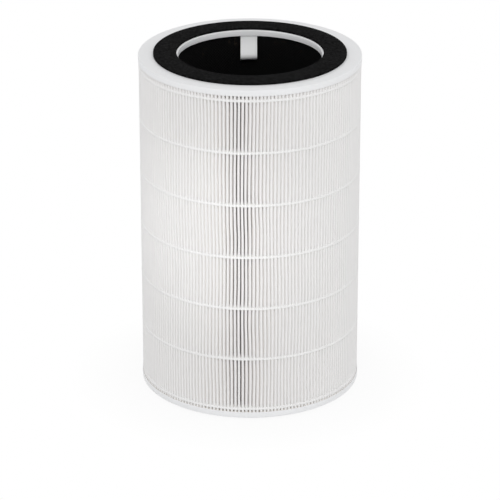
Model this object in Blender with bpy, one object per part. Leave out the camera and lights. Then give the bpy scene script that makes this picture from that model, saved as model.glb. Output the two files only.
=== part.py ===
"""Cylindrical air purifier filter: a pleated paper pack between two moulded end caps, with
hot-melt bead rings round the folds, a carbon sleeve inside, foam gaskets and a ribbon pull tab.

Metres, +Z up. The filter stands on its lower gasket, with its axis on Z and its foot at z = 0.
"""

import math

import bmesh
import bpy

# Moulded end caps: a flat plate with a skirt round the outside and a collar round the bore.
CAP_FACE_TO_FACE = 0.3100
CAP_PLATE = 0.0016
CAP_EDGE_ROUND = 0.0008
SKIRT_DEPTH = 0.0055
SKIRT_WALL = 0.0009
BORE_RADIUS = 0.0638
BORE_EDGE_ROUND = 0.0005
COLLAR_WALL = 0.0013
COLLAR_DEPTH = 0.0054

# Foam gaskets, stuck on the flat outer faces of the caps.
GASKET_THICKNESS = 0.0017
GASKET_WIDTH = 0.0205
GASKET_SETBACK = 0.0014

# Ribbon pull tab: one strip folded into a hanging loop, its ends glued behind the upper collar.
TAB_WIDTH = 0.0150
TAB_RIBBON = 0.0004
TAB_DROP = 0.0208
TAB_LOOP_RADIUS = 0.0022

# Carbon sleeve: a net, the granule bed and an outer wrap, one round the other.
NET_WALL = 0.0008
CARBON_BED = 0.0044
WRAP_WALL = 0.0005

# Pleated pack and the adhesive that holds its ends in the caps.
PLEAT_COUNT = 188
PLEAT_DEPTH = 0.0242
MEDIA_THICKNESS = 0.0005
POTTING_DEPTH = 0.0022

# Hot-melt beads that keep the pleats apart.
BEAD_COUNT = 7
BEAD_HEIGHT = 0.0022
BEAD_THICKNESS = 0.0005
HEAD_BEAD_GAP = 0.0025
FOOT_BEAD_GAP = 0.0019

# Gap left between two pieces that are glued together or seated on one another.
CLEARANCE = 0.0003

# Faces round each ring and each rounding.
RING_STEPS = 48
ROUND_STEPS = 2
TAB_WIDTH_STEPS = 4
TAB_FRONT_STEPS = 5
TAB_LOOP_STEPS = 6

# Edges that bend by more than this are shaded sharp.
SHARP_ANGLE = math.radians(30)

# Heights of the caps' outer faces and of the pieces' ends between them.
FOOT_FACE = GASKET_THICKNESS + CLEARANCE
HEAD_FACE = FOOT_FACE + CAP_FACE_TO_FACE
POTTING_SEAT = CAP_PLATE + CLEARANCE
PACK_SEAT = POTTING_SEAT + POTTING_DEPTH + CLEARANCE
PACK_FOOT = FOOT_FACE + PACK_SEAT
PACK_HEAD = HEAD_FACE - PACK_SEAT

# A ring's flats lie nearer the axis than its corners by this factor.
FLAT_SHARE = math.cos(math.pi / RING_STEPS)

# Radii, from the bore outwards. The skirts and the beads both lie round the pleat tips.
COLLAR_RADIUS = BORE_RADIUS + COLLAR_WALL
NET_INNER = COLLAR_RADIUS + 2 * TAB_RIBBON + 3 * CLEARANCE
NET_OUTER = NET_INNER + NET_WALL
BED_INNER = NET_OUTER + CLEARANCE
BED_OUTER = BED_INNER + CARBON_BED
WRAP_INNER = BED_OUTER + CLEARANCE
WRAP_OUTER = WRAP_INNER + WRAP_WALL
PACK_INNER = WRAP_OUTER + CLEARANCE
PACK_OUTER = PACK_INNER + PLEAT_DEPTH
RING_ON_PACK = (PACK_OUTER + CLEARANCE) / FLAT_SHARE
BEAD_OUTER = RING_ON_PACK + BEAD_THICKNESS
CAP_RADIUS = RING_ON_PACK + SKIRT_WALL


def clear_scene():
    """Take away whatever the file holds."""
    for item in list(bpy.data.objects):
        bpy.data.objects.remove(item, do_unlink=True)


def plain_material(name, color, roughness, metallic=0.0):
    """Principled material with one colour."""
    material = bpy.data.materials.new(name)
    material.use_nodes = True
    shader = material.node_tree.nodes["Principled BSDF"]
    shader.inputs["Base Color"].default_value = (*color, 1.0)
    shader.inputs["Roughness"].default_value = roughness
    shader.inputs["Metallic"].default_value = metallic
    return material


def finish(bm, name, material):
    """Turn the mesh's faces outwards, shade it and link it as an object of its own."""
    bmesh.ops.recalc_face_normals(bm, faces=bm.faces)
    mesh = bpy.data.meshes.new(name)
    bm.to_mesh(mesh)
    bm.free()
    mesh.shade_smooth()
    mesh.set_sharp_from_angle(angle=SHARP_ANGLE)
    mesh.materials.append(material)
    piece = bpy.data.objects.new(name, mesh)
    bpy.context.collection.objects.link(piece)
    return piece


def thicken(piece, thickness):
    """Give a sheet its thickness, half on each side."""
    solidify = piece.modifiers.new("Thickness", "SOLIDIFY")
    solidify.thickness = thickness
    solidify.offset = 0.0
    solidify.use_even_offset = True


def quarter_round(center_r, center_z, radius, start_deg, end_deg):
    """Points of a rounded edge, from one angle to another."""
    points = []
    for step in range(ROUND_STEPS + 1):
        angle = math.radians(start_deg + (end_deg - start_deg) * step / ROUND_STEPS)
        points.append((center_r + radius * math.cos(angle), center_z + radius * math.sin(angle)))
    return points


def outline(bm, profile):
    """Closed wire through (radius, height) points, in the plane y = 0."""
    verts = [bm.verts.new((radius, 0.0, height)) for radius, height in profile]
    return [bm.edges.new((a, b)) for a, b in zip(verts, verts[1:] + verts[:1])]


def turned(name, profile, material):
    """Ring made by a profile turned once round the Z axis."""
    bm = bmesh.new()
    edges = outline(bm, profile)
    bmesh.ops.spin(
        bm,
        geom=list(bm.verts) + edges,
        cent=(0, 0, 0),
        axis=(0, 0, 1),
        angle=2 * math.pi,
        steps=RING_STEPS,
        use_merge=True,
    )
    return finish(bm, name, material)


def rectangle(inner, outer, low, high):
    """Profile of a plain ring."""
    return [(inner, low), (outer, low), (outer, high), (inner, high)]


def cap_profile():
    """Section of an end cap, with its outer face at height 0 and its inside below that."""
    edge = CAP_EDGE_ROUND
    bore = BORE_EDGE_ROUND
    profile = quarter_round(CAP_RADIUS - edge, -edge, edge, 90, 0)
    profile += [
        (CAP_RADIUS, -SKIRT_DEPTH),
        (RING_ON_PACK, -SKIRT_DEPTH),
        (RING_ON_PACK, -CAP_PLATE),
        (COLLAR_RADIUS, -CAP_PLATE),
        (COLLAR_RADIUS, -COLLAR_DEPTH),
        (BORE_RADIUS, -COLLAR_DEPTH),
    ]
    profile += quarter_round(BORE_RADIUS + bore, -bore, bore, 180, 90)
    return profile


def at_head(profile):
    """A section drawn below height 0, moved up to the head's outer face."""
    return [(radius, HEAD_FACE + height) for radius, height in profile]


def at_foot(profile):
    """The same section mirrored, on the foot's outer face."""
    return [(radius, FOOT_FACE - height) for radius, height in profile]


def make_end_caps():
    """Two caps from one moulding, face outwards."""
    plastic = plain_material("cap_plastic", (0.79, 0.79, 0.80), 0.45)
    turned("top_end_cap", at_head(cap_profile()), plastic)
    turned("bottom_end_cap", at_foot(cap_profile()), plastic)


def make_gaskets():
    """Foam rings, one on each cap, set back a little from the bore."""
    foam = plain_material("gasket_foam", (0.011, 0.011, 0.012), 0.95)
    inner = BORE_RADIUS + GASKET_SETBACK
    profile = rectangle(inner, inner + GASKET_WIDTH, CLEARANCE, CLEARANCE + GASKET_THICKNESS)
    turned("top_gasket", at_head(profile), foam)
    turned("bottom_gasket", at_foot(profile), foam)


def make_potting():
    """Adhesive that fills each cap from its collar to its skirt."""
    adhesive = plain_material("potting_adhesive", (0.72, 0.70, 0.66), 0.35)
    inner = (COLLAR_RADIUS + CLEARANCE) / FLAT_SHARE
    outer = RING_ON_PACK - CLEARANCE
    profile = rectangle(inner, outer, -POTTING_SEAT - POTTING_DEPTH, -POTTING_SEAT)
    turned("top_potting", at_head(profile), adhesive)
    turned("bottom_potting", at_foot(profile), adhesive)


def make_carbon_sleeve():
    """Net, granule bed and wrap, each a tube that ends on the potting."""
    net = plain_material("net_nylon", (0.006, 0.006, 0.006), 0.6)
    carbon = plain_material("carbon_granules", (0.012, 0.011, 0.010), 0.8)
    wrap = plain_material("wrap_cloth", (0.60, 0.60, 0.60), 0.9)
    turned("inner_net", rectangle(NET_INNER, NET_OUTER, PACK_FOOT, PACK_HEAD), net)
    turned("carbon_bed", rectangle(BED_INNER, BED_OUTER, PACK_FOOT, PACK_HEAD), carbon)
    turned("carbon_wrap", rectangle(WRAP_INNER, WRAP_OUTER, PACK_FOOT, PACK_HEAD), wrap)


def on_circle(radius, turn, sideways):
    """Point on a circle at a turn from +X, moved sideways along the tangent."""
    x = radius * math.cos(turn) - sideways * math.sin(turn)
    y = radius * math.sin(turn) + sideways * math.cos(turn)
    return (x, y, PACK_FOOT)


def fold_line():
    """Middle of the media all the way round: a flat crown at each tip and each root.

    A crown is as wide as the space between two of them at the root, where room is shortest.
    """
    tip = PACK_OUTER - MEDIA_THICKNESS / 2
    root = PACK_INNER + MEDIA_THICKNESS / 2
    root_pitch = 2 * math.pi * root / PLEAT_COUNT
    half_crown = root_pitch / 4
    points = []
    for pleat in range(PLEAT_COUNT):
        at_tip = 2 * math.pi * pleat / PLEAT_COUNT
        at_root = 2 * math.pi * (pleat + 0.5) / PLEAT_COUNT
        for radius, turn in ((tip, at_tip), (root, at_root)):
            points.append(on_circle(radius, turn, -half_crown))
            points.append(on_circle(radius, turn, half_crown))
    return points


def make_pleated_media():
    """One sheet folded back and forth round the sleeve, standing between the pottings."""
    paper = plain_material("media_paper", (0.80, 0.80, 0.79), 0.85)
    bm = bmesh.new()
    verts = [bm.verts.new(point) for point in fold_line()]
    edges = [bm.edges.new((a, b)) for a, b in zip(verts, verts[1:] + verts[:1])]
    sheet = bmesh.ops.extrude_edge_only(bm, edges=edges)["geom"]
    raised = [item for item in sheet if isinstance(item, bmesh.types.BMVert)]
    bmesh.ops.translate(bm, verts=raised, vec=(0, 0, PACK_HEAD - PACK_FOOT))
    thicken(finish(bm, "pleated_media", paper), MEDIA_THICKNESS)


def make_glue_beads():
    """Rings of hot-melt bead over the pleat tips, evenly spaced from head to foot."""
    melt = plain_material("bead_melt", (0.84, 0.84, 0.83), 0.4)
    highest = HEAD_FACE - SKIRT_DEPTH - HEAD_BEAD_GAP - BEAD_HEIGHT
    lowest = FOOT_FACE + SKIRT_DEPTH + FOOT_BEAD_GAP
    pitch = (highest - lowest) / (BEAD_COUNT - 1)
    for number in range(BEAD_COUNT):
        low = highest - number * pitch
        profile = rectangle(RING_ON_PACK, BEAD_OUTER, low, low + BEAD_HEIGHT)
        turned(f"glue_bead_{number + 1}", profile, melt)


def tab_middle_line():
    """Middle of the ribbon: down in front, round the loop and up along the net."""
    half = TAB_RIBBON / 2
    front = COLLAR_RADIUS + CLEARANCE + half
    back = front + TAB_RIBBON + CLEARANCE
    belly = back - 2 * TAB_LOOP_RADIUS
    exit_height = HEAD_FACE - COLLAR_DEPTH - CLEARANCE
    loop_height = HEAD_FACE - COLLAR_DEPTH - TAB_DROP + half + TAB_LOOP_RADIUS
    points = [(front, PACK_HEAD)]
    for step in range(TAB_FRONT_STEPS + 1):
        share = step / TAB_FRONT_STEPS
        ease = (1 - math.cos(math.pi * share)) / 2
        height = exit_height + (loop_height - exit_height) * share
        points.append((front + (belly - front) * ease, height))
    for step in range(1, TAB_LOOP_STEPS + 1):
        angle = math.pi + math.pi * step / TAB_LOOP_STEPS
        radius = back - TAB_LOOP_RADIUS + TAB_LOOP_RADIUS * math.cos(angle)
        points.append((radius, loop_height + TAB_LOOP_RADIUS * math.sin(angle)))
    points.append((back, PACK_HEAD))
    return points


def make_pull_tab():
    """Ribbon loop on the far side, following the wall behind the collar."""
    ribbon = plain_material("tab_ribbon", (0.70, 0.72, 0.75), 0.8)
    bend = TAB_WIDTH / COLLAR_RADIUS
    start = math.pi / 2 - bend / 2
    bm = bmesh.new()
    verts = []
    for radius, height in tab_middle_line():
        verts.append(bm.verts.new((radius * math.cos(start), radius * math.sin(start), height)))
    edges = [bm.edges.new((a, b)) for a, b in zip(verts, verts[1:])]
    bmesh.ops.spin(
        bm,
        geom=verts + edges,
        cent=(0, 0, 0),
        axis=(0, 0, 1),
        angle=bend,
        steps=TAB_WIDTH_STEPS,
    )
    thicken(finish(bm, "pull_tab", ribbon), TAB_RIBBON)


def main():
    clear_scene()
    make_end_caps()
    make_gaskets()
    make_potting()
    make_carbon_sleeve()
    make_pleated_media()
    make_glue_beads()
    make_pull_tab()


main()
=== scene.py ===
"""Cylindrical air purifier filter, dressed for its photograph.

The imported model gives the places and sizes. Each operator here makes one piece, or one group of
like pieces, round it: moulded caps, foam gaskets, pleated media, glue beads, potting, the net and
carbon behind the bore, and the ribbon pull tab. The last one makes the floor, lamps and camera.
"""

import math
import bpy
import numpy as np
from bpy.props import FloatProperty, FloatVectorProperty, IntProperty, PointerProperty
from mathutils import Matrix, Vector, noise


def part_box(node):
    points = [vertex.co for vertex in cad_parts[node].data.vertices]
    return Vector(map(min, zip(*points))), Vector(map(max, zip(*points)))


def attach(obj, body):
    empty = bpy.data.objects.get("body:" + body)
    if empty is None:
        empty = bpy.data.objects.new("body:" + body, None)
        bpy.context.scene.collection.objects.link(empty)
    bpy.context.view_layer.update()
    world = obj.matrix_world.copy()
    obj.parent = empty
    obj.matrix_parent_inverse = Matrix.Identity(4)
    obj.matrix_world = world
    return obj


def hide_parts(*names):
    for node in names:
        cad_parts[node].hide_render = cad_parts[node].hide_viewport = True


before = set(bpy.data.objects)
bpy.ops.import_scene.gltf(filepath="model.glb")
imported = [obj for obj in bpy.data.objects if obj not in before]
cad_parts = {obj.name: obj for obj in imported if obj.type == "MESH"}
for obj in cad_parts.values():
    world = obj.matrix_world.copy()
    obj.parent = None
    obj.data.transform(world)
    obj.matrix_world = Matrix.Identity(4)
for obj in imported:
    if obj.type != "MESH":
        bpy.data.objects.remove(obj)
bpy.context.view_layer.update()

bl_info = {
    "name": "Air Filter Cartridge",
    "version": (1, 0, 0),
    "blender": (4, 5, 0),
    "location": "View3D > Sidebar > Air Filter",
    "description": "Models a pleated air filter cartridge and its studio",
    "category": "Add Mesh",
}

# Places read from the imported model, as lowest and highest corners.
HEAD_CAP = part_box("top_end_cap")
FOOT_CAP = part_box("bottom_end_cap")
HEAD_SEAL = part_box("top_gasket")
FOOT_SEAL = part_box("bottom_gasket")
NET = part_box("inner_net")
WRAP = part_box("carbon_wrap")
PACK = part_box("pleated_media")
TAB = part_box("pull_tab")
BEAD_NODES = [f"glue_bead_{number}" for number in range(1, 8)]
BEADS = [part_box(node) for node in BEAD_NODES]

CAP_RADIUS = HEAD_CAP[1].x
HEAD_FACE = HEAD_CAP[1].z
FOOT_FACE = FOOT_CAP[0].z
SKIRT_DEPTH = HEAD_CAP[1].z - HEAD_CAP[0].z
BEAD_HEIGHTS = [(low.z + high.z) / 2 for low, high in BEADS]

ROOT = "root"
FULL_TURN = 2 * math.pi
MM = 0.001
WELD = 1e-6  # metres between two points that are one
BLACK = (0.0, 0.0, 0.0)

# Unevenness of the pleat tips: waves round the pack, metres up for one wave, and a seed.
WANDER_WAVES = (15, 90 * MM, 1.0)
UNEVEN_WAVES = (150, 140 * MM, 23.0)


# Settings that a user would change


def length(name, description, default):
    """Length property in metres."""
    return FloatProperty(
        name=name,
        description=description,
        default=default,
        min=0.0,
        precision=5,
        subtype="DISTANCE",
        unit="LENGTH",
    )


def color(name, description, default):
    """Colour property, linear red, green and blue."""
    return FloatVectorProperty(
        name=name,
        description=description,
        default=default,
        min=0.0,
        max=1.0,
        size=3,
        subtype="COLOR",
    )


def degrees(name, description, default):
    """Angle property, with its default in degrees."""
    return FloatProperty(
        name=name,
        description=description,
        default=math.radians(default),
        subtype="ANGLE",
        unit="ROTATION",
    )


def number_of(name, description, default):
    """Whole number property."""
    return IntProperty(name=name, description=description, default=default, min=8)


def brightness(name, description, default):
    """Property for a lamp's watts, or for a strength of which 1 is white."""
    return FloatProperty(name=name, description=description, default=default, min=0.0)


class CapSettings(bpy.types.PropertyGroup):
    radius: length("Radius", "Outside radius of both caps", CAP_RADIUS)
    skirt: length("Skirt depth", "Height of the outer skirt", SKIRT_DEPTH)
    wall: length("Skirt wall", "Thickness of the outer skirt at the plate", 0.8 * MM)
    lip: length("Skirt lip", "Thickness of the outer skirt at its free edge", 0.4 * MM)
    plate: length("Plate", "Thickness of the flat plate", 1.6 * MM)
    bore: length("Bore radius", "Inside radius of the collar", 63.8 * MM)
    collar_wall: length("Collar wall", "Thickness of the collar", 1.0 * MM)
    collar: length("Collar depth", "Height of the collar", 5.4 * MM)
    edge: length("Edge round", "Rounding of the outer edge", 0.8 * MM)
    plastic: color("Plastic", "Colour of the moulded plastic", (0.913, 0.918, 0.928))
    steps: number_of("Steps", "Faces round a cap", 256)


class GasketSettings(bpy.types.PropertyGroup):
    inner: length("Inner radius", "Inside radius of the foam rings", 65.2 * MM)
    outer: length("Outer radius", "Outside radius of the foam rings", HEAD_SEAL[1].x)
    height: length("Height", "How far the foam stands proud", HEAD_SEAL[1].z - HEAD_FACE)
    foam: color("Foam", "Colour of the foam", (0.0078, 0.0078, 0.0080))
    steps: number_of("Steps", "Faces round a gasket", 384)


class MediaSettings(bpy.types.PropertyGroup):
    pleats: number_of("Pleats", "Folds round the pack", 188)
    tip: length("Tip radius", "Radius of the pleat tips", CAP_RADIUS - 0.5 * MM)
    root: length("Root radius", "Radius of the inner folds", WRAP[1].x + 0.5 * MM)
    paper_thickness: length("Thickness", "Thickness of the media", 0.45 * MM)
    crown: length("Crown width", "Width of a pleat tip, outside", 2.05 * MM)
    lean: degrees("Lean", "How far the roots are turned behind the tips", 2.6)
    wander: length("Wander", "Slow drift of the pleats over the height", 1.6 * MM)
    sway: length("Sway", "Bowing of a pleat between two beads", 0.55 * MM)
    uneven: length("Unevenness", "Difference of one pleat to the next", 0.2 * MM)
    crease: length("Crease", "Difference of one inner fold to the next", 0.6 * MM)
    bow: length("Bow", "Bulge of a pleat's wall half way to its root", 0.8 * MM)
    paper: color("Paper", "Colour of the media at the pleat tips", (0.962, 0.955, 0.951))
    # Painted shade: the colour of the paper on the flanks beside the pleat tips.
    flank_shade: color("Flank", "Colour of the media beside the pleat tips", (0.902, 0.895, 0.890))
    # Painted light: the lighter, warmer colour of the paper deep in the pleats.
    valley_painted_light: color("Valley", "Colour of the media deep in the pleats", (0.990, 0.964, 0.944))


class BeadSettings(bpy.types.PropertyGroup):
    radius: length("Radius", "Outside radius of the beads", CAP_RADIUS - 0.2 * MM)
    depth: length("Web depth", "How far the glue runs into the valleys", 22 * MM)
    height: length("Height", "Height of a bead", BEADS[0][1].z - BEADS[0][0].z)
    sag: length("Sag", "How far a bead sinks in between two pleats", 0.3 * MM)
    first_drop: length("First drop", "How far the first bead lies below its place", 1.0 * MM)
    melt: color("Glue", "Colour of the hot-melt glue", (0.925, 0.92, 0.917))
    steps: number_of("Steps", "Faces round a bead, six for each pleat", 1128)


class PottingSettings(bpy.types.PropertyGroup):
    level: length("Level", "How far the adhesive stays below the skirt's edge", 0.3 * MM)
    adhesive: color("Adhesive", "Colour of the potting adhesive", (0.82, 0.77, 0.71))
    steps: number_of("Steps", "Faces round a potting ring, one for each pleat", 188)


class SleeveSettings(bpy.types.PropertyGroup):
    net_wall: length("Net wall", "Thickness of the net, where two strands cross", 0.8 * MM)
    strand_width: length("Strand width", "Width of a strand, measured level", 0.9 * MM)
    strands: number_of("Strands", "Strands that slant one way", 150)
    strand: color("Strand", "Colour of the net's strands", (0.0085, 0.0086, 0.0088))
    granule: color("Granule", "Colour of the carbon", (0.0012, 0.0011, 0.0010))
    # Painted glint: the colour of the odd granule that is made to shine.
    painted_glint: color("Glint", "Colour of the odd shiny granule", (0.16, 0.11, 0.065))
    wrap: color("Wrap", "Colour of the cloth round the carbon", (0.62, 0.62, 0.61))


class TabSettings(bpy.types.PropertyGroup):
    width: length("Width", "Width of the ribbon", 15.0 * MM)
    thickness: length("Thickness", "Thickness of the ribbon", 0.4 * MM)
    loop: length("Loop radius", "Bend of the ribbon at its lowest point", 4.0 * MM)
    lean: degrees("Lean", "How far the front ply leans inwards where the bend starts", 38)
    offset: length("Offset", "How far the ribbon sits left of the middle", 1.1 * MM)
    slack: length("Slack", "How far the loop hangs below the packed ribbon", 1.0 * MM)
    ribbon: color("Ribbon", "Colour of the woven ribbon", (0.950, 0.960, 0.992))


class StageSettings(bpy.types.PropertyGroup):
    distance: length("Distance", "How far the camera stands from the axis", 2.375)
    rise: length("Rise", "Height of the camera", 1.1206)
    pitch: degrees("Pitch", "How far the camera looks down", 22.779)
    lens: FloatProperty(
        name="Lens",
        description="Focal length in millimetres",
        default=203.95,
        min=1.0,
        subtype="DISTANCE_CAMERA",
    )
    zenith: brightness("Zenith", "Strength of the light from overhead", 0.42)
    horizon: brightness("Horizon", "Strength of the light on the level", 1.06)
    key: brightness("Key", "Power of the front lamp in watts", 74.0)
    side: brightness("Side", "Power of the right-hand lamp in watts", 2.0)
    glow: brightness("Glow", "Power of the soft spot on the filter's middle, in watts", 10.5)


# Modelling that several pieces share


def deselect():
    """Clear the selection, because an operator works on all that is selected."""
    bpy.ops.object.select_all(action="DESELECT")


def name_active(name):
    """Name the active object and its mesh."""
    piece = bpy.context.active_object
    piece.name = name
    piece.data.name = name
    return piece


def leave_edit_mode():
    """Point every face outwards and go back to object mode."""
    bpy.ops.mesh.select_all(action="SELECT")
    bpy.ops.mesh.normals_make_consistent(inside=False)
    bpy.ops.object.mode_set(mode="OBJECT")


def rounded(corners, steps=4):
    """Section with its corners rounded. A corner is (radius, height, rounding)."""
    points = []
    count = len(corners)
    for index, (radius, height, rounding) in enumerate(corners):
        here = Vector((radius, height))
        if rounding == 0:
            points.append(here)
            continue
        before = (Vector(corners[index - 1][:2]) - here).normalized()
        after = (Vector(corners[(index + 1) % count][:2]) - here).normalized()
        half = before.angle(after) / 2
        center = here + (before + after).normalized() * rounding / math.sin(half)
        start = here + before * rounding / math.tan(half) - center
        end = here + after * rounding / math.tan(half) - center
        points += [center + rounding * start.slerp(end, step / steps) for step in range(steps + 1)]
    return points


def turned(name, section, steps):
    """Ring turned from a closed section, drawn by extruding one point from corner to corner."""
    deselect()
    bpy.ops.mesh.primitive_plane_add(size=0.01)
    piece = name_active(name)
    bpy.ops.object.mode_set(mode="EDIT")
    bpy.ops.mesh.merge(type="CENTER")
    bpy.ops.transform.translate(value=(section[0].x, 0, section[0].y))
    for here, there in zip(section, section[1:] + section[:1]):
        step = (there.x - here.x, 0, there.y - here.y)
        bpy.ops.mesh.extrude_vertices_move(TRANSFORM_OT_translate={"value": step})
    bpy.ops.mesh.select_all(action="SELECT")
    bpy.ops.mesh.remove_doubles(threshold=WELD)
    bpy.ops.mesh.spin(steps=steps, angle=FULL_TURN, center=(0, 0, 0), axis=(0, 0, 1))
    bpy.ops.mesh.select_all(action="SELECT")
    bpy.ops.mesh.remove_doubles(threshold=WELD)
    leave_edit_mode()
    return piece


def reshape(piece, move, *details):
    """Give every vertex the place that move works out from all their places and the details."""
    mesh = piece.data
    places = np.empty(len(mesh.vertices) * 3)
    mesh.vertices.foreach_get("co", places)
    places = move(places.reshape(-1, 3), *details)
    mesh.vertices.foreach_set("co", places.ravel())
    mesh.update()


def polar(places):
    """Radius and turn of each place round the filter's axis."""
    return np.hypot(places[:, 0], places[:, 1]), np.arctan2(places[:, 1], places[:, 0])


def from_polar(radius, turn, height):
    """Places from radius, turn and height."""
    return np.stack([radius * np.cos(turn), radius * np.sin(turn), height], axis=1)


def ripple(turns, heights, around, upward, seed):
    """Smooth noise from -1 to 1, with a wave of so many waves round and so many metres up."""
    reach = around / FULL_TURN
    rises = np.asarray(heights) / upward + seed
    places = zip(reach * np.cos(turns), reach * np.sin(turns), rises)
    return np.array([noise.noise(Vector(place)) for place in places])


def tip_drift(media, turns, heights):
    """How far the pleat tips stray sideways where nothing bends them between two beads."""
    wander = ripple(turns, heights, *WANDER_WAVES) * media.wander
    return wander, ripple(turns, heights, *UNEVEN_WAVES) * media.uneven


def pick(piece):
    """Select one piece alone and make it the active one."""
    deselect()
    piece.select_set(True)
    bpy.context.view_layer.objects.active = piece


def copied(piece, name):
    """Copy of a piece, with a mesh of its own."""
    pick(piece)
    bpy.ops.object.duplicate(linked=False)
    return name_active(name)


def turned_over(piece, name):
    """Copy of a piece from the filter's upper end, turned over for its lower end."""
    copy = copied(piece, name)
    copy.location.z = HEAD_FACE + FOOT_FACE
    copy.rotation_euler.x = math.pi
    bpy.ops.object.transform_apply(location=True, rotation=True, scale=True)
    return copy


def both_ends(node, kind, section, steps):
    """Ring for the upper end and one for the lower end, each with the node it stands for."""
    head = turned(f"top_{node}_{kind}", section, steps)
    foot = turned_over(head, f"bottom_{node}_{kind}")
    return (head, f"top_{node}"), (foot, f"bottom_{node}")


def smooth(piece, angle=35):
    """Shade round faces smooth and keep real edges."""
    pick(piece)
    bpy.ops.object.shade_smooth_by_angle(angle=math.radians(angle))


def thicken(piece, thickness):
    """Give a sheet its thickness, half on each side."""
    pick(piece)
    wall = piece.modifiers.new("Thickness", "SOLIDIFY")
    wall.thickness = thickness
    wall.offset = 0.0
    bpy.ops.object.modifier_apply(modifier=wall.name)


def dress(piece, material, slot, *nodes):
    """Give a piece its material and its body, and hide the nodes that it stands for. The slot is
    not used.
    """
    piece.data.materials.clear()
    piece.data.materials.append(material)
    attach(piece, ROOT)
    if nodes:
        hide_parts(*nodes)


# Materials


class Value:
    """A shader socket that takes Python's arithmetic."""

    def __init__(self, nodes, socket):
        self.nodes = nodes
        self.socket = socket

    def maths(self, operation, *others):
        return self.nodes.node("ShaderNodeMath", {"operation": operation}, *others)

    def __add__(self, other):
        return self.maths("ADD", self, other)

    def __sub__(self, other):
        return self.maths("SUBTRACT", self, other)

    def __rsub__(self, other):
        return self.maths("SUBTRACT", other, self)

    def __mul__(self, other):
        return self.maths("MULTIPLY", self, other)

    def __truediv__(self, other):
        return self.maths("DIVIDE", self, other)

    def __abs__(self):
        return self.maths("ABSOLUTE", self)

    def __gt__(self, other):
        return self.maths("GREATER_THAN", self, other)

    __radd__ = __add__
    __rmul__ = __mul__

    def wave(self):
        """Sine of the value."""
        return self.maths("SINE", self)

    def root(self):
        """Square root of the value."""
        return self.maths("SQRT", self)

    def larger(self, other):
        return self.maths("MAXIMUM", self, other)

    def smaller(self, other):
        return self.maths("MINIMUM", self, other)

    def share(self):
        """The value, held between 0 and 1."""
        return self.larger(0.0).smaller(1.0)


class Nodes:
    """The node tree of a material or of the world."""

    def __init__(self, owner):
        owner.use_nodes = True
        self.tree = owner.node_tree

    def node(self, kind, settings, *inputs, output=0, **named):
        """Add a node: its settings first, then the values or links of its sockets."""
        made = self.tree.nodes.new(kind)
        for key, value in settings.items():
            setattr(made, key, value)
        places = list(zip(made.inputs, inputs))
        places += [(made.inputs[key.replace("_", " ")], value) for key, value in named.items()]
        for socket, value in places:
            if isinstance(value, Value):
                self.tree.links.new(value.socket, socket)
            else:
                socket.default_value = value
        return Value(self, made.outputs[output])

    def parts(self, vector):
        """The three numbers of a vector."""
        split = self.tree.nodes.new("ShaderNodeSeparateXYZ")
        self.tree.links.new(vector.socket, split.inputs[0])
        return [Value(self, socket) for socket in split.outputs]

    def from_axis(self, place):
        """Distance of a place from the filter's axis."""
        x, y = self.parts(place)[:2]
        return (x * x + y * y).root()

    def backdrop_rays(self):
        """1 for a ray that the camera, a mirror or glass sends out, and 0 for a ray of light."""
        camera, glossy, clear = [
            self.node("ShaderNodeLightPath", {}, output=ray)
            for ray in ("Is Camera Ray", "Is Glossy Ray", "Is Transmission Ray")
        ]
        return camera.larger(glossy).larger(clear)


class Finish(Nodes):
    """One Principled material, built node by node."""

    def __init__(self, name, base, roughness, **constants):
        self.material = bpy.data.materials.new(name)
        super().__init__(self.material)
        self.shader = self.tree.nodes["Principled BSDF"]
        self.shader.inputs["Base Color"].default_value = (*base, 1.0)
        self.shader.inputs["Roughness"].default_value = roughness
        for socket, value in constants.items():
            self.shader.inputs[socket.replace("_", " ")].default_value = value

    def feed(self, socket, value):
        """Link a value to one of the shader's sockets."""
        self.tree.links.new(value.socket, self.shader.inputs[socket])

    def place(self):
        """The piece's own coordinates, in metres."""
        return self.node("ShaderNodeTexCoord", {}, output="Object")

    def grain(self, place, per_metre, detail=2.0, roughness=0.5):
        """Smooth noise from 0 to 1."""
        return self.node(
            "ShaderNodeTexNoise",
            {},
            Vector=place,
            Scale=per_metre,
            Detail=detail,
            Roughness=roughness,
            output="Fac",
        )

    def cells(self, place, per_metre, output="Distance"):
        """Distance to the nearest of many scattered points, or a colour for each of them."""
        return self.node("ShaderNodeTexVoronoi", {}, Vector=place, Scale=per_metre, output=output)

    def blend(self, factor, low, high):
        """Colour between two colours."""
        made = self.tree.nodes.new("ShaderNodeMix")
        made.data_type = "RGBA"
        sockets = {socket.identifier: socket for socket in made.inputs}
        inputs = {"Factor_Float": factor, "A_Color": low, "B_Color": high}
        for key, value in inputs.items():
            if isinstance(value, Value):
                self.tree.links.new(value.socket, sockets[key])
            else:
                sockets[key].default_value = (*value, 1.0)
        result = {socket.identifier: socket for socket in made.outputs}["Result_Color"]
        return Value(self, result)

    def relief(self, height, distance):
        """Bump of a height from 0 to 1, over a distance in metres."""
        bump = self.node("ShaderNodeBump", {}, Distance=distance, Height=height, output="Normal")
        self.feed("Normal", bump)


def toned(base, share):
    """A colour made darker or lighter all over."""
    return [min(tone * share, 1.0) for tone in base]


def cap_plastic(base):
    """White moulded plastic: a fine spark-eroded grain and faint flow marks."""
    finish = Finish("cap_plastic", base, roughness=0.42, Specular_IOR_Level=0.4)
    place = finish.place()
    flow = finish.grain(place, per_metre=28.0, detail=3.0)
    grain = finish.grain(place, per_metre=1900.0)
    finish.feed("Base Color", finish.blend(flow, toned(base, 0.985), toned(base, 1.01)))
    finish.feed("Roughness", 0.36 + 0.10 * flow + 0.06 * grain)
    finish.relief(grain, 0.02 * MM)
    return finish.material


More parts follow.
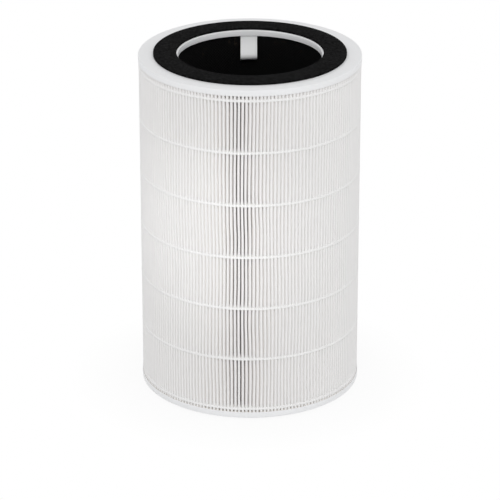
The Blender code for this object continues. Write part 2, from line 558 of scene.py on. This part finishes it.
def gasket_foam(base):
    """Closed-cell foam: matt black with fine pores and a slightly mottled skin."""
    contrast = 3.0
    finish = Finish("gasket_foam", base, roughness=0.95, Specular_IOR_Level=0.03)
    place = finish.place()
    cloud = finish.grain(place, per_metre=460.0, detail=3.0, roughness=0.7)
    mottle = ((cloud - 0.5) * contrast + 0.5).share()
    pores = finish.cells(place, per_metre=1500.0)
    finish.feed("Base Color", finish.blend(mottle, toned(base, 0.02), toned(base, 2.2)))
    finish.relief(pores + 0.8 * mottle, 0.4 * MM)
    return finish.material


def media_paper(media):
    """Glass-fibre paper: a faint cloud of fibres, matt, with painted light that makes it lighter
    and warmer deep in the pleats, standing in for light that filters through.

    The paper just beside the tips has a painted shade that makes it darker than the tips.
    """
    flank_shade_band = 0.5 * MM
    painted_light_start = 0.7 * MM
    painted_light_band = 2.5 * MM
    base = tuple(media.paper)
    finish = Finish("media_paper", base, roughness=0.88, Specular_IOR_Level=0.25)
    place = finish.place()
    inward = media.tip - finish.from_axis(place)
    # Painted shade: the paper darkens over a narrow band in from each tip.
    flank_shade = (inward / flank_shade_band).share()
    # Painted light: deeper in the pleats the paper turns lighter and warmer.
    depth = ((inward - painted_light_start) / painted_light_band).share()
    cloud = finish.grain(place, per_metre=160.0, detail=4.0, roughness=0.6)
    fibres = finish.grain(place, per_metre=2600.0, detail=3.0, roughness=0.7)
    outside = finish.blend(cloud, toned(base, 0.97), toned(base, 1.015))
    # Painted shade on the flanks beside the tips.
    edge = finish.blend(flank_shade, outside, tuple(media.flank_shade))
    # Painted light deep in the pleats, over the painted shade of the flanks.
    finish.feed("Base Color", finish.blend(depth, edge, tuple(media.valley_painted_light)))
    finish.relief(fibres, 0.03 * MM)
    return finish.material


def bead_melt(base):
    """Set hot-melt glue: smooth and slightly waxy, with soft waves where it was laid."""
    finish = Finish("bead_melt", base, roughness=0.45, Specular_IOR_Level=0.15)
    waves = finish.grain(finish.place(), per_metre=420.0)
    finish.feed("Base Color", finish.blend(waves, toned(base, 0.97), base))
    finish.feed("Roughness", 0.38 + 0.16 * waves)
    finish.relief(waves, 0.08 * MM)
    return finish.material


def potting_adhesive(base):
    """Poured adhesive: off-white, glossy, with a slow unevenness."""
    finish = Finish("potting_adhesive", base, roughness=0.3, Specular_IOR_Level=0.5)
    pool = finish.grain(finish.place(), per_metre=90.0)
    finish.feed("Base Color", finish.blend(pool, toned(base, 0.94), base))
    finish.feed("Roughness", 0.24 + 0.16 * pool)
    finish.relief(pool, 0.3 * MM)
    return finish.material


def net_nylon(base):
    """Black extruded nylon strands, slightly uneven."""
    finish = Finish("net_nylon", base, roughness=0.5, Specular_IOR_Level=0.1)
    grain = finish.grain(finish.place(), per_metre=900.0)
    finish.feed("Base Color", finish.blend(grain, toned(base, 0.7), toned(base, 1.3)))
    finish.relief(grain, 0.08 * MM)
    return finish.material


def carbon_granules(base, painted_glint):
    """Packed black granules, of which the odd one has a painted glint in its colour and a smoother
    surface.
    """
    share_dull = 0.93
    finish = Finish("carbon_granules", base, roughness=0.7, Specular_IOR_Level=0.05)
    place = finish.place()
    granules = finish.cells(place, per_metre=620.0)
    chance = finish.parts(finish.cells(place, per_metre=330.0, output="Color"))[0]
    # Mask of the odd granule: a painted glint in its colour, and really lower roughness.
    painted_glint_and_gloss = (chance > share_dull) * (1.0 - granules * 2.0).larger(0.0)
    finish.feed("Base Color", finish.blend(painted_glint_and_gloss, base, painted_glint))
    finish.feed("Roughness", 0.75 - 0.3 * painted_glint_and_gloss)
    finish.relief(granules, 0.8 * MM)
    return finish.material


def wrap_cloth(base):
    """Thin white non-woven cloth."""
    finish = Finish("wrap_cloth", base, roughness=0.9)
    fibres = finish.grain(finish.place(), per_metre=900.0, detail=4.0, roughness=0.7)
    finish.feed("Base Color", finish.blend(fibres, toned(base, 0.85), base))
    finish.relief(fibres, 0.1 * MM)
    return finish.material


def tab_ribbon(base, width, ribbon_length):
    """Woven ribbon: fine ribs across it, warp threads along it and a firmer edge on each side."""
    rib_pitch = 0.55 * MM
    warp_pitch = 0.42 * MM
    seam_start, seam_end = 0.9, 1.35  # millimetres from the ribbon's edge
    finish = Finish("tab_ribbon", base, roughness=0.72, Specular_IOR_Level=0.3)
    across, along = finish.parts(finish.node("ShaderNodeUVMap", {"uv_map": "UVMap"}))[:2]
    rib = (along * (ribbon_length / rib_pitch) * FULL_TURN).wave() * 0.5 + 0.5
    warp = (across * (width / warp_pitch) * FULL_TURN).wave() * 0.5 + 0.5
    from_edge = (0.5 - abs(across - 0.5)) * (width / MM)
    seam = (from_edge > seam_start) * (1.0 - (from_edge > seam_end))
    soft = finish.grain(finish.place(), per_metre=240.0, detail=3.0)
    weave = 0.6 * rib + 0.4 * warp
    tone = (0.95 + 0.05 * weave + 0.06 * soft - 0.10 * seam).smaller(1.0)
    finish.feed("Base Color", finish.blend(tone, BLACK, toned(base, 1.04)))
    finish.relief(weave - 0.8 * seam, 0.06 * MM)
    return finish.material


# Pieces


class AIRFILTER_OT_end_caps(bpy.types.Operator):
    """Model both moulded end caps: plate, skirt, collar and rounded edges."""

    bl_idname = "air_filter.end_caps"
    bl_label = "End Caps"

    LIP_ROUND = 0.15 * MM
    CORNER_ROUND = 0.3 * MM
    COLLAR_ROUND = 0.35 * MM
    BORE_ROUND = 0.8 * MM

    def execute(self, context):
        cap = context.scene.air_filter_caps
        plastic = cap_plastic(tuple(cap.plastic))
        collar = cap.bore + cap.collar_wall
        inner = cap.radius - cap.wall
        section = [
            (cap.radius, 0.0, cap.edge),
            (cap.radius, -cap.skirt, self.LIP_ROUND),
            (cap.radius - cap.lip, -cap.skirt, self.LIP_ROUND),
            (inner, -cap.plate, self.CORNER_ROUND),
            (collar, -cap.plate, self.CORNER_ROUND),
            (collar, -cap.collar, self.COLLAR_ROUND),
            (cap.bore, -cap.collar, self.COLLAR_ROUND),
            (cap.bore, 0.0, self.BORE_ROUND),
        ]
        corners = [(radius, HEAD_FACE + height, edge) for radius, height, edge in section]
        for piece, node in both_ends("end_cap", "moulding", rounded(corners), cap.steps):
            smooth(piece)
            dress(piece, plastic, "cap_plastic", node)
        return {"FINISHED"}


class AIRFILTER_OT_gaskets(bpy.types.Operator):
    """Model the die-cut foam ring on each cap."""

    bl_idname = "air_filter.gaskets"
    bl_label = "Foam Gaskets"

    BEDDING = 0.02 * MM  # how far the foam presses into the cap
    CUT_ROUND = 0.25 * MM
    CUT_WAVES = 160
    CUT_DEPTH = 0.16 * MM
    SEEDS = (4.0, 2.0)

    def execute(self, context):
        seal = context.scene.air_filter_gaskets
        foam = gasket_foam(tuple(seal.foam))
        low = HEAD_FACE - self.BEDDING
        high = HEAD_FACE + seal.height
        corners = [
            (seal.inner, low, 0.0),
            (seal.outer, low, 0.0),
            (seal.outer, high, self.CUT_ROUND),
            (seal.inner, high, self.CUT_ROUND),
        ]
        rings = both_ends("gasket", "foam", rounded(corners, 3), seal.steps)
        for (piece, node), seed in zip(rings, self.SEEDS):
            reshape(piece, self.cut_edge, seal, seed)
            smooth(piece, 60)
            dress(piece, foam, "gasket_foam", node)
        return {"FINISHED"}

    def cut_edge(self, places, seal, seed):
        """A die leaves the foam's two edges a little uneven."""
        radius, turn = polar(places)
        middle = (seal.inner + seal.outer) / 2
        outside = radius > middle
        uneven = ripple(turn, outside * 0.5, self.CUT_WAVES, 1.0, seed) * self.CUT_DEPTH
        radius = np.where(outside, radius - np.abs(uneven), radius + np.abs(uneven))
        return from_polar(radius, turn, places[:, 2])


class AIRFILTER_OT_pleated_media(bpy.types.Operator):
    """Fold the paper into its ring of pleats, which bow and wander between the glue beads."""

    bl_idname = "air_filter.pleated_media"
    bl_label = "Pleated Media"

    # Depth of each point of a fold, from 0 at the tip to 1 at the root.
    DEPTHS = (0.0, 0.0, 0.5, 1.0, 1.0, 0.5, 0.0)
    NEXT_TIP = 5  # the first point that belongs to the next pleat's tip
    BAY_ROWS = 5  # rows of vertices from one bead to the next
    END_TUCK = 2.6 * MM  # how far the paper's ends reach in behind the skirts
    ROOT_GAP = 0.05 * MM  # half the gap inside a fold at its root
    SHOULDER_DROP = 0.42 * MM  # how far a tip's two edges lie behind its middle
    ROOT_WANDER = 0.3  # share of the tips' wander that the roots follow
    FLUTTER = 0.08 * MM
    SINK = 0.08 * MM

    # Waves round the pack, metres up for one wave, and a seed.
    SWAY_WAVES = (42, 26 * MM, 11.0)
    FLUTTER_WAVES = (120, 24 * MM, 37.0)
    CREASE_WAVES = (170, 70 * MM, 67.0)
    SINK_WAVES = (70, 30 * MM, 51.0)

    def execute(self, context):
        media = context.scene.air_filter_media
        low = FOOT_FACE + SKIRT_DEPTH - self.END_TUCK
        high = HEAD_FACE - SKIRT_DEPTH + self.END_TUCK
        rows = self.row_heights(low, high)
        deselect()
        bpy.ops.mesh.primitive_circle_add(
            vertices=media.pleats * len(self.DEPTHS),
            radius=media.tip,
            location=(0, 0, low),
            align="WORLD",
        )
        piece = name_active("pleated_media_paper")
        bpy.ops.object.transform_apply(location=True, rotation=True, scale=True)
        bpy.ops.object.mode_set(mode="EDIT")
        bpy.ops.mesh.select_all(action="SELECT")
        for here, there in zip(rows, rows[1:]):
            step = (0, 0, there - here)
            bpy.ops.mesh.extrude_region_move(TRANSFORM_OT_translate={"value": step})
        leave_edit_mode()
        reshape(piece, self.fold, media)
        thicken(piece, media.paper_thickness)
        smooth(piece, 75)
        dress(piece, media_paper(media), "media_paper", "pleated_media")
        return {"FINISHED"}

    def row_heights(self, low, high):
        """Rows of vertices: the two ends, every bead, and a few between one bead and the next."""
        stops = [low] + sorted(BEAD_HEIGHTS) + [high]
        rows = [stops[0], stops[1]]
        for here, there in zip(stops[1:-2], stops[2:-1]):
            bay = there - here
            rows += [here + bay * row / self.BAY_ROWS for row in range(1, self.BAY_ROWS + 1)]
        return rows + [stops[-1]]

    def between_beads(self, heights):
        """0 where a bead holds the pleats, rising to 1 half way to the next."""
        beads = np.array(sorted(BEAD_HEIGHTS))
        share = np.interp(heights, beads, np.arange(len(beads)))
        return np.abs(np.sin(math.pi * share))

    def fold(self, places, media):
        """Move a plain tube's vertices to the tips and roots of the pleats."""
        turn = polar(places)[1]
        height = places[:, 2]
        points = len(self.DEPTHS)
        count = media.pleats * points
        index = np.rint(turn / FULL_TURN * count).astype(int) % count
        pleat, point = np.divmod(index, points)
        half_pitch = math.pi / media.pleats
        half_paper = media.paper_thickness / 2
        shoulder = media.crown / 2 - half_paper
        root = half_paper + self.ROOT_GAP
        wall = (shoulder - root) / 2
        sideways = np.choose(point, [0, shoulder, wall, -root, root, -wall, -shoulder])
        deep = np.choose(point, self.DEPTHS)
        tip_turn = 2 * half_pitch * (pleat + (point >= self.NEXT_TIP))
        root_turn = 2 * half_pitch * pleat + half_pitch - media.lean
        where = tip_turn * (1 - deep) + root_turn * deep
        held = self.between_beads(height)
        wander, uneven = tip_drift(media, where, height)
        sway = ripple(where, height, *self.SWAY_WAVES) * media.sway * held
        flutter = ripple(where, height, *self.FLUTTER_WAVES) * self.FLUTTER * held
        crease = ripple(where, height, *self.CREASE_WAVES) * media.crease
        bow = 4 * deep * (1 - deep) * media.bow
        at_tip = wander + sway + uneven + flutter
        at_root = wander * self.ROOT_WANDER + crease
        shift = at_tip * (1 - deep) + at_root * deep + bow
        sink = np.abs(ripple(where, height, *self.SINK_WAVES)) * self.SINK * held
        drop = np.choose(point, [0, 1, 0, 0, 0, 0, 1]) * self.SHOULDER_DROP
        tip = media.tip - half_paper - drop - sink
        reach = tip * (1 - deep) + (media.root + half_paper) * deep
        return from_polar(reach, where + (sideways + shift) / reach, height)


class AIRFILTER_OT_glue_beads(bpy.types.Operator):
    """Lay the hot-melt beads round the tips, with the webs that run into the valleys."""

    bl_idname = "air_filter.glue_beads"
    bl_label = "Glue Beads"

    SHOULDER = 1.4 * MM  # how far in from its rim a bead keeps its full height
    RIM_SLOPE = 0.35 * MM  # how far the rim leans in towards its top
    RIM_BAND = 1.2 * MM  # how far in from the rim a bead sags between two pleats
    ROUND = 0.3 * MM
    TOP_ROUND = 0.4 * MM

    def execute(self, context):
        bead = context.scene.air_filter_beads
        melt = bead_melt(tuple(bead.melt))
        half = bead.height / 2
        inner = bead.radius - bead.depth
        corners = [
            (inner, -half * 0.5, 0.0),
            (bead.radius - self.SHOULDER, -half, self.ROUND),
            (bead.radius, -half * 0.95, self.ROUND),
            (bead.radius - self.RIM_SLOPE, half * 0.75, self.TOP_ROUND),
            (bead.radius - self.SHOULDER, half, self.ROUND),
            (inner, half * 0.5, 0.0),
        ]
        names = [f"{node}_web" for node in BEAD_NODES]
        first = turned(names[0], rounded(corners, 3), bead.steps)
        rings = [first] + [copied(first, name) for name in names[1:]]
        for number, (piece, node, middle) in enumerate(zip(rings, BEAD_NODES, BEAD_HEIGHTS)):
            if number == 0:
                middle -= bead.first_drop
            reshape(piece, self.lay, number, middle, context)
            smooth(piece, 60)
            dress(piece, melt, "bead_melt", node)
        return {"FINISHED"}

    def crowns(self, context, height):
        """Turns of the pleat tips under a bead, from a whole turn before to a whole turn after."""
        media = context.scene.air_filter_media
        tips = np.arange(-media.pleats, 2 * media.pleats) * FULL_TURN / media.pleats
        return tips + sum(tip_drift(media, tips, np.full(len(tips), height))) / media.tip

    def lay(self, places, number, middle, context):
        """A bead sinks in between the pleats and wavers a little as it goes round."""
        bead = context.scene.air_filter_beads
        crowns = self.crowns(context, middle)
        radius, turn = polar(places)
        phase = np.interp(turn, crowns, np.arange(len(crowns)))
        sag = (1 - np.cos(FULL_TURN * phase)) / 2 * bead.sag
        radius = radius - sag * (radius > bead.radius - self.RIM_BAND)
        rise = self.waver(turn, waves=30, seed=5.0 + number, size=0.3 * MM)
        rise += self.waver(turn, waves=180, seed=15.0 + number, size=0.08 * MM)
        swell = -np.abs(self.waver(turn, waves=188, seed=25.0 + number, size=0.12 * MM))
        return from_polar(radius + swell, turn, places[:, 2] + middle + rise)

    def waver(self, turn, waves, seed, size):
        """How far the bead strays, up to a size in metres, on its way round the pack."""
        return ripple(turn, np.zeros(len(turn)), waves, 1.0, seed) * size


class AIRFILTER_OT_potting(bpy.types.Operator):
    """Fill both caps with the adhesive that holds the pack."""

    bl_idname = "air_filter.potting"
    bl_label = "Potting"

    OVERLAP = 0.1 * MM  # how far the adhesive reaches into the cap's plate and collar
    SKIRT_GAP = 0.05 * MM
    CREEP = 1.2 * MM  # width of the round where the adhesive meets a wall
    CREEP_ROUND = 1.0 * MM
    CREEP_DROP = 0.2 * MM

    def execute(self, context):
        caps = context.scene.air_filter_caps
        potting = context.scene.air_filter_potting
        adhesive = potting_adhesive(tuple(potting.adhesive))
        inner = caps.bore + caps.collar_wall - self.OVERLAP
        outer = caps.radius - caps.lip - self.SKIRT_GAP
        floor = HEAD_FACE - caps.plate + self.OVERLAP
        level = HEAD_FACE - caps.skirt + potting.level
        edge = level - self.CREEP_DROP
        corners = [
            (inner, floor, 0.0),
            (outer, floor, 0.0),
            (outer, edge, 0.0),
            (outer - self.CREEP, level, self.CREEP_ROUND),
            (inner + self.CREEP, level, self.CREEP_ROUND),
            (inner, edge, 0.0),
        ]
        for piece, node in both_ends("potting", "pour", rounded(corners), potting.steps):
            smooth(piece, 60)
            dress(piece, adhesive, "potting_adhesive", node)
        return {"FINISHED"}


class AIRFILTER_OT_carbon_sleeve(bpy.types.Operator):
    """Model the black net behind the bore and finish the carbon and its wrap."""

    bl_idname = "air_filter.carbon_sleeve"
    bl_label = "Carbon Sleeve"

    RISE_STEPS = 24

    def execute(self, context):
        sleeve = context.scene.air_filter_sleeve
        piece = self.upright_strands(sleeve)
        under = copied(piece, "inner_net_under")
        reshape(piece, self.slant, 1, 0.0)
        reshape(under, self.slant, -1, sleeve.net_wall / 2)
        pick(piece)
        under.select_set(True)
        bpy.ops.object.join()
        smooth(piece, 60)
        dress(piece, net_nylon(tuple(sleeve.strand)), "net_nylon", "inner_net")
        finishes = {
            "carbon_bed": carbon_granules(tuple(sleeve.granule), tuple(sleeve.painted_glint)),
            "carbon_wrap": wrap_cloth(tuple(sleeve.wrap)),
        }
        for node, material in finishes.items():
            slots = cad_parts[node].data.materials
            slots.clear()
            slots.append(material)
        return {"FINISHED"}

    def upright_strands(self, sleeve):
        """One upright strand, extruded row by row, and its copies round the axis."""
        deselect()
        radius = NET[1].x - sleeve.net_wall / 4
        bpy.ops.mesh.primitive_plane_add(size=1.0, location=(radius, 0, PACK[0].z))
        piece = name_active("inner_net_weave")
        piece.scale = (sleeve.net_wall / 2, sleeve.strand_width, 1)
        bpy.ops.object.transform_apply(location=True, rotation=True, scale=True)
        bpy.ops.object.mode_set(mode="EDIT")
        bpy.ops.mesh.select_all(action="SELECT")
        step = (0, 0, (PACK[1].z - PACK[0].z) / self.RISE_STEPS)
        for _ in range(self.RISE_STEPS):
            bpy.ops.mesh.extrude_region_move(TRANSFORM_OT_translate={"value": step})
        bpy.ops.mesh.select_all(action="SELECT")
        copies = sleeve.strands - 1
        bpy.ops.mesh.spin(
            steps=copies,
            dupli=True,
            angle=FULL_TURN * copies / sleeve.strands,
            center=(0, 0, 0),
            axis=(0, 0, 1),
        )
        leave_edit_mode()
        return piece

    def slant(self, places, way, inward):
        """Lean upright strands one way round the tube, as far sideways as they are high."""
        radius, turn = polar(places)
        height = places[:, 2]
        return from_polar(radius - inward, turn + way * (height - PACK[0].z) / NET[1].x, height)


class AIRFILTER_OT_pull_tab(bpy.types.Operator):
    """Fold the woven ribbon into the loop that hangs behind the far side of the collar."""

    bl_idname = "air_filter.pull_tab"
    bl_label = "Pull Tab"

    ACROSS = 12
    STRAIGHT_STEPS = 26
    LOOP_STEPS = 16
    COLLAR_GAP = 0.15 * MM
    PLY_GAP = 0.3 * MM
    COLLAR_END_GAP = 0.3 * MM  # how far below the collar the front ply starts to lean
    NET_GAP = 2.0 * MM  # no crease reaches nearer to the net than this
    FREE_START = 8 * MM  # depth below the cap's face where the ribbon is free to crease
    FREE_BAND = 8 * MM
    SKEW = 0.04  # drop of the ribbon's left side for its distance from the middle
    CREASE = 0.6 * MM
    CREASE_SPAN = 30 * MM
    CREASE_WAVES = (6, 9 * MM, 4.0)

    def execute(self, context):
        tab = context.scene.air_filter_tab
        caps = context.scene.air_filter_caps
        line = self.middle_line(tab, caps)
        deselect()
        bpy.ops.mesh.primitive_grid_add(
            x_subdivisions=self.ACROSS, y_subdivisions=len(line) - 1, size=1.0
        )
        piece = name_active("pull_tab_ribbon")
        reshape(piece, self.bend, line, tab)
        bpy.ops.object.mode_set(mode="EDIT")
        leave_edit_mode()
        thicken(piece, tab.thickness)
        smooth(piece, 50)
        ribbon_length = sum((b - a).length for a, b in zip(line, line[1:]))
        ribbon = tab_ribbon(tuple(tab.ribbon), tab.width, ribbon_length)
        dress(piece, ribbon, "tab_ribbon", "pull_tab")
        return {"FINISHED"}

    def middle_line(self, tab, caps):
        """The ribbon's middle from its front end, round the loop, to its back end."""
        top = TAB[1].z
        front = caps.bore + caps.collar_wall + self.COLLAR_GAP + tab.thickness / 2
        back = front + tab.thickness + self.PLY_GAP
        leave = HEAD_FACE - caps.collar - self.COLLAR_END_GAP
        bend = TAB[0].z - tab.slack + tab.thickness / 2 + tab.loop
        belly = back - tab.loop * (1 + math.cos(tab.lean))
        start = bend + tab.loop * math.sin(tab.lean)
        power = math.tan(tab.lean) * (leave - start) / (front - belly)
        points = [Vector((front, top))]
        for step in range(self.STRAIGHT_STEPS + 1):
            share = step / self.STRAIGHT_STEPS
            reach = front + (belly - front) * share**power
            points.append(Vector((reach, leave + (start - leave) * share)))
        for step in range(1, self.LOOP_STEPS + 1):
            angle = math.pi - tab.lean + (math.pi + tab.lean) * step / self.LOOP_STEPS
            reach = back - tab.loop + tab.loop * math.cos(angle)
            points.append(Vector((reach, bend + tab.loop * math.sin(angle))))
        for step in range(1, self.STRAIGHT_STEPS + 1):
            points.append(Vector((back, bend + (top - bend) * step / self.STRAIGHT_STEPS)))
        return points

    def bend(self, places, line, tab):
        """Bend a flat grid along the ribbon's line, with slight creases of its own."""
        row = np.rint((places[:, 1] + 0.5) * (len(line) - 1)).astype(int)
        radius = np.array([line[number].x for number in row])
        height = np.array([line[number].y for number in row])
        across = places[:, 0] * tab.width
        crease = ripple(across / self.CREASE_SPAN, height, *self.CREASE_WAVES) * self.CREASE
        free = np.clip((HEAD_FACE - self.FREE_START - height) / self.FREE_BAND, 0, 1)
        radius = radius + crease * free * (radius < NET[1].x - self.NET_GAP)
        turn = math.pi / 2 - (across - tab.offset) / radius
        return from_polar(radius, turn, height + self.SKEW * across * free)


class AIRFILTER_OT_stage(bpy.types.Operator):
    """Set the pale floor, the soft lamps and the camera."""

    bl_idname = "air_filter.stage"
    bl_label = "Stage"

    FLOOR_RADIUS = 9.0
    FLOOR_TONE = (0.82, 0.82, 0.82)
    FLOOR_GAP = 0.05 * MM  # keeps the floor and the lower gasket from sharing one plane
    WHITE_AT_FILTER = 0.80  # share of plain white in the floor at the filter's axis
    WHITE_PER_METRE = 1.2

    def execute(self, context):
        stage = context.scene.air_filter_stage
        self.floor()
        self.world(context, stage.zenith, stage.horizon)
        self.lamp("front_lamp", stage.key, size=2.2, turn=-1, rise=43, distance=6.0)
        self.lamp("right_lamp", stage.side, size=1.5, turn=60, rise=10, distance=3.0)
        self.glow(stage.glow, spread=9, turn=-20, rise=12, distance=1.5)
        camera = bpy.data.cameras.new("view")
        camera.lens = stage.lens
        camera.sensor_width = 36.0
        camera.clip_end = 50.0
        viewer = bpy.data.objects.new("view", camera)
        viewer.location = (0.0, -stage.distance, stage.rise)
        viewer.rotation_euler = (math.pi / 2 - stage.pitch, 0.0, 0.0)
        context.scene.collection.objects.link(viewer)
        context.scene.camera = viewer
        context.scene.view_settings.view_transform = "Standard"
        return {"FINISHED"}

    def floor(self):
        """White sheet that keeps the shadow and fades to white away from the filter."""
        deselect()
        bpy.ops.mesh.primitive_circle_add(
            vertices=96, radius=self.FLOOR_RADIUS, fill_type="NGON"
        )
        floor = bpy.context.active_object
        floor.name = "studio_floor"
        floor.location.z = FOOT_SEAL[0].z - self.FLOOR_GAP
        finish = Finish("studio_floor", self.FLOOR_TONE, roughness=0.9, Specular_IOR_Level=0.0)
        away = finish.from_axis(finish.place())
        white_share = (self.WHITE_AT_FILTER + away * self.WHITE_PER_METRE).smaller(1.0)
        share = white_share * finish.backdrop_rays()
        sheet = Value(finish, finish.shader.outputs[0])
        white = finish.node("ShaderNodeEmission", {}, Strength=1.0)
        mixed = finish.node("ShaderNodeMixShader", {}, share, sheet, white)
        output = finish.tree.nodes["Material Output"]
        finish.tree.links.new(mixed.socket, output.inputs["Surface"])
        floor.data.materials.append(finish.material)

    def world(self, context, zenith, horizon):
        """White studio walls, brighter on the level than overhead, seen as plain white."""
        world = bpy.data.worlds.new("studio")
        context.scene.world = world
        studio = Nodes(world)
        background = studio.tree.nodes["Background"]
        background.inputs["Color"].default_value = (1.0, 1.0, 1.0, 1.0)
        up = studio.parts(studio.node("ShaderNodeTexCoord", {}, output="Generated"))[2]
        light = horizon - (horizon - zenith) * abs(up)
        level = light + (1.0 - light) * studio.backdrop_rays()
        studio.tree.links.new(level.socket, background.inputs["Strength"])

    def lamp(self, name, power, size, **place):
        """Large square lamp that faces the filter."""
        light = bpy.data.lights.new(name, "AREA")
        light.energy = power
        light.size = size
        self.hang(light, **place)

    def glow(self, power, spread, **place):
        """Soft-edged spot on the middle of the filter."""
        light = bpy.data.lights.new("glow_lamp", "SPOT")
        light.energy = power
        light.spot_size = math.radians(spread)
        light.spot_blend = 1.0
        light.shadow_soft_size = 0.03
        self.hang(light, **place)

    def hang(self, light, turn, rise, distance):
        """Hang a light so that it faces the filter.

        It is turned from the camera's side and raised, both in degrees.
        """
        turn = math.radians(turn)
        rise = math.radians(rise)
        lamp = bpy.data.objects.new(light.name, light)
        reach = math.cos(rise)
        away = Vector((math.sin(turn) * reach, -math.cos(turn) * reach, math.sin(rise)))
        lamp.location = Vector((0, 0, HEAD_FACE / 2)) + away * distance
        lamp.rotation_euler = (-away).to_track_quat("-Z", "Y").to_euler()
        bpy.context.scene.collection.objects.link(lamp)


# Add-on


class AIRFILTER_PT_panel(bpy.types.Panel):
    """Sidebar panel with a button for each piece, and the settings that it uses."""

    bl_idname = "AIRFILTER_PT_panel"
    bl_label = "Air Filter"
    bl_space_type = "VIEW_3D"
    bl_region_type = "UI"
    bl_category = "Air Filter"

    def draw(self, context):
        for operator, settings in STEPS:
            box = self.layout.box()
            box.operator(operator.bl_idname)
            group = getattr(context.scene, settings)
            for name in group.bl_rna.properties.keys():
                if name not in ("rna_type", "name"):
                    box.prop(group, name)


GROUPS = (
    ("air_filter_caps", CapSettings),
    ("air_filter_gaskets", GasketSettings),
    ("air_filter_media", MediaSettings),
    ("air_filter_beads", BeadSettings),
    ("air_filter_potting", PottingSettings),
    ("air_filter_sleeve", SleeveSettings),
    ("air_filter_tab", TabSettings),
    ("air_filter_stage", StageSettings),
)

STEPS = (
    (AIRFILTER_OT_stage, "air_filter_stage"),
    (AIRFILTER_OT_end_caps, "air_filter_caps"),
    (AIRFILTER_OT_gaskets, "air_filter_gaskets"),
    (AIRFILTER_OT_pleated_media, "air_filter_media"),
    (AIRFILTER_OT_glue_beads, "air_filter_beads"),
    (AIRFILTER_OT_potting, "air_filter_potting"),
    (AIRFILTER_OT_carbon_sleeve, "air_filter_sleeve"),
    (AIRFILTER_OT_pull_tab, "air_filter_tab"),
)


def register():
    for name, group in GROUPS:
        bpy.utils.register_class(group)
        setattr(bpy.types.Scene, name, PointerProperty(type=group))
    for operator, _ in STEPS:
        bpy.utils.register_class(operator)
    bpy.utils.register_class(AIRFILTER_PT_panel)


def unregister():
    bpy.utils.unregister_class(AIRFILTER_PT_panel)
    for operator, _ in reversed(STEPS):
        bpy.utils.unregister_class(operator)
    for name, group in reversed(GROUPS):
        delattr(bpy.types.Scene, name)
        bpy.utils.unregister_class(group)


def main():
    register()
    for operator, _ in STEPS:
        family, name = operator.bl_idname.split(".")
        getattr(getattr(bpy.ops, family), name)()


if __name__ == "__main__":
    main()
